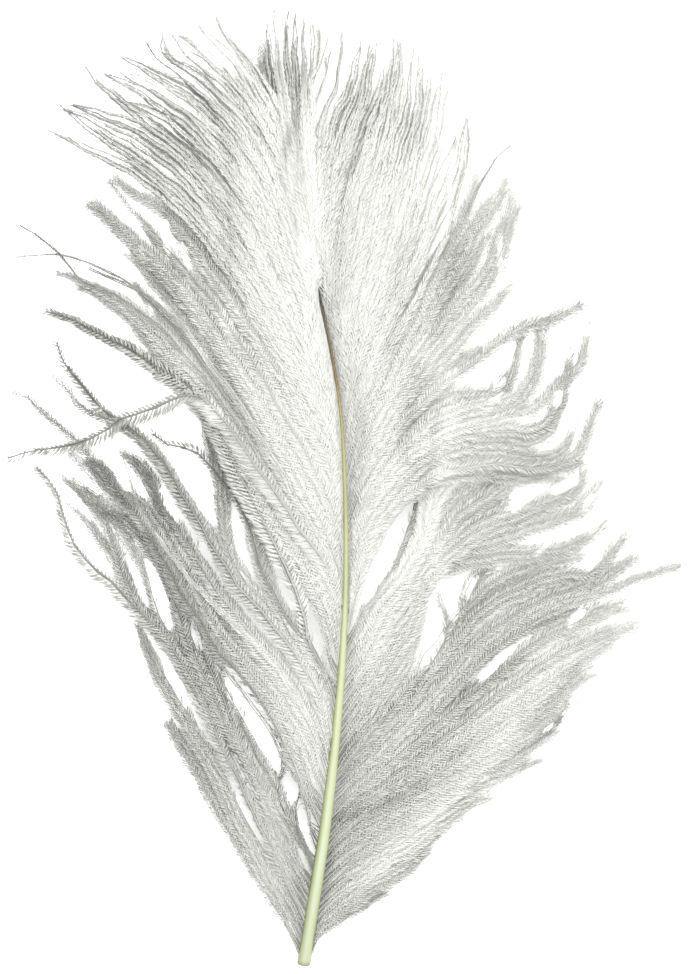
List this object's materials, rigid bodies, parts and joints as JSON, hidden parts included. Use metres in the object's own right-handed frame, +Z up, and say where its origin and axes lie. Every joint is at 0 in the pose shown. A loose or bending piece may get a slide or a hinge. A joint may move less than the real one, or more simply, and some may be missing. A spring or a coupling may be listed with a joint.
{
  "type": "ostrich feather",
  "caption": "Large white ostrich plume lying flat: a pale quill cut short, long loose downy barbs in drooping bunches and a broad fanned crown.",
  "frame": {"origin": "on the surface that the plume lies on, under the middle of its outline", "axes": "+Y along the plume from the cut butt to the crown, +Z up off the surface, +X to the right seen from above"},
  "size_m": [0.356, 0.5006, 0.0435],
  "materials": {
    "quill_keratin": "smooth pale yellow-green keratin, satin, browner towards the end of the shaft",
    "barb_keratin": "soft matt white keratin fibres, silky and slightly see-through"
  },
  "bodies": {
    "root": {"quill": "quill_keratin", "left_lock_1": "barb_keratin", "left_lock_2": "barb_keratin", "left_lock_3": "barb_keratin", "left_lock_4": "barb_keratin", "left_lock_5": "barb_keratin", "left_lock_6": "barb_keratin", "left_lock_7": "barb_keratin", "left_lock_8": "barb_keratin", "left_lock_9": "barb_keratin", "right_lock_1": "barb_keratin", "right_lock_2": "barb_keratin", "right_lock_3": "barb_keratin", "right_lock_4": "barb_keratin", "right_lock_5": "barb_keratin", "right_lock_6": "barb_keratin", "right_lock_7": "barb_keratin", "right_lock_8": "barb_keratin", "right_lock_9": "barb_keratin", "right_lock_10": "barb_keratin", "right_lock_11": "barb_keratin", "crown_lock_1": "barb_keratin", "crown_lock_2": "barb_keratin", "crown_lock_3": "barb_keratin", "crown_lock_4": "barb_keratin", "crown_lock_5": "barb_keratin", "crown_lock_6": "barb_keratin", "crown_lock_7": "barb_keratin"}
  },
  "joints": []
}
